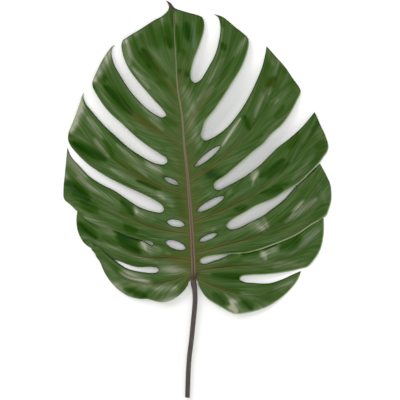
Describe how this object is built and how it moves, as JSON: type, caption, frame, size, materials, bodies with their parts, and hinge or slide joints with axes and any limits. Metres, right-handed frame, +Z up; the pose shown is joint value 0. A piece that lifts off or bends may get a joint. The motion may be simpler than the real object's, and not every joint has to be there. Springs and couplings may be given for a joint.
{
  "type": "monstera leaf",
  "caption": "Cut monstera leaf lying face up: heart-shaped blade with deep slits, small holes beside the midrib and a short leaf stalk.",
  "frame": {"origin": "under the middle of the whole leaf, on the surface it lies on", "axes": "+Y from the stalk's cut end towards the drip tip, +Z up out of the leaf's upper face"},
  "size_m": [0.3492, 0.5167, 0.0256],
  "materials": {
    "leaf_green": "waxy deep green leaf with a satin sheen and brown ribs",
    "petiole_brown": "dark brown grooved stalk, dull"
  },
  "bodies": {
    "root": {"leaf_blade": "leaf_green", "petiole": "petiole_brown"}
  },
  "joints": []
}
